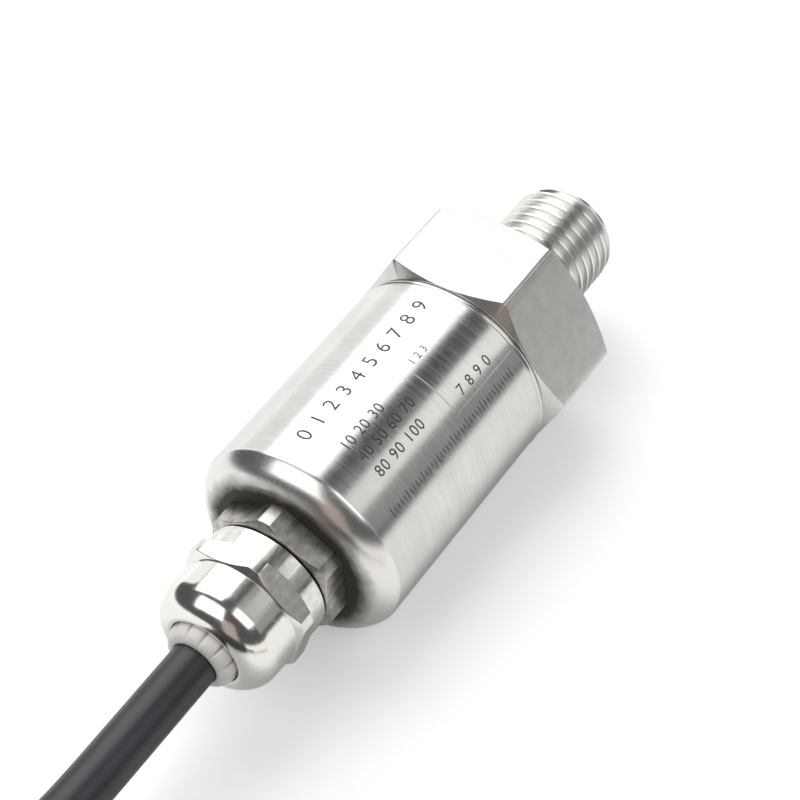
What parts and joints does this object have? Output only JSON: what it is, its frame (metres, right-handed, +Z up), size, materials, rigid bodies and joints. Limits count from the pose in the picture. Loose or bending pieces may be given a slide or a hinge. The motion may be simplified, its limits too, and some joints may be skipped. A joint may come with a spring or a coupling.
{
  "type": "pressure transmitter",
  "caption": "Stainless pressure transmitter with a hexagonal process connection, an external thread, a smooth round housing and a nickel-plated cable gland with a dark cable.",
  "frame": {"origin": "on the transmitter's axis, in the plane of the shoulder where the external thread begins", "axes": "+X along the axis, out of the thread; +Z up as the transmitter lies on a flat of its hexagon; the cable leaves towards -X"},
  "size_m": [0.1875, 0.0702, 0.027],
  "materials": {
    "stainless": "satin turned",
    "nickel_satin": "satin nickel plate on brass",
    "nickel_polished": "polished nickel plate on brass",
    "nylon": "off-white nylon",
    "seal_rubber": "matte black",
    "cable_jacket": "smooth dark jacket",
    "core_red": "red core insulation",
    "core_yellow": "yellow core insulation",
    "cell_steel": "fine turned",
    "header_glass": "glass seal",
    "gold_pin": "gold plated",
    "silicon": "polished silicon",
    "board_green": "solder mask",
    "chip_black": "moulded case",
    "chip_ceramic": "sintered",
    "tinned_wire": "tinned"
  },
  "bodies": {
    "transmitter": {"process_connection": "stainless", "housing_shell": "stainless", "gland_o_ring": "seal_rubber", "gland_body": "nickel_satin", "clamp_cage": "nylon", "sealing_sleeve": "seal_rubber", "sensor_cell": "cell_steel", "sensor_o_ring": "seal_rubber", "sensor_diaphragm": "cell_steel", "diaphragm_ring": "cell_steel", "sensor_header": "header_glass", "silicon_die": "silicon", "header_pins": "gold_pin", "clamp_ring": "cell_steel", "board_spacer": "nylon", "sensor_board": "board_green", "main_board": "board_green", "board_link_pins": "tinned_wire", "amplifier_chip": "chip_black", "loop_transistor": "chip_black", "surge_diode": "chip_black", "chip_capacitors": "chip_ceramic", "chip_resistors": "chip_black", "supply_core": "core_red", "signal_core": "core_yellow", "cable": "cable_jacket", "cable_coil": "cable_jacket", "cable_tail": "cable_jacket", "tail_supply_core": "core_red", "tail_signal_core": "core_yellow", "wire_ferrules": "tinned_wire"},
    "nut_washer": {"slip_washer": "nylon"},
    "gland_nut": {"cap_nut": "nickel_polished"}
  },
  "joints": [
    {"name": "nut_travel", "type": "slide", "parent": "transmitter", "child": "nut_washer", "axis": [-1, 0, 0], "range_m": [0, 0.0034]},
    {"name": "nut_turn", "type": "hinge", "parent": "nut_washer", "child": "gland_nut", "pos_m": [-0.0535, 0, 0], "axis": [-1, 0, 0], "range_deg": [0, 810]}
  ],
  "couplings": [
    {"joint": "nut_travel", "follows": "nut_turn", "m_per_rad": 0.00023873}
  ]
}
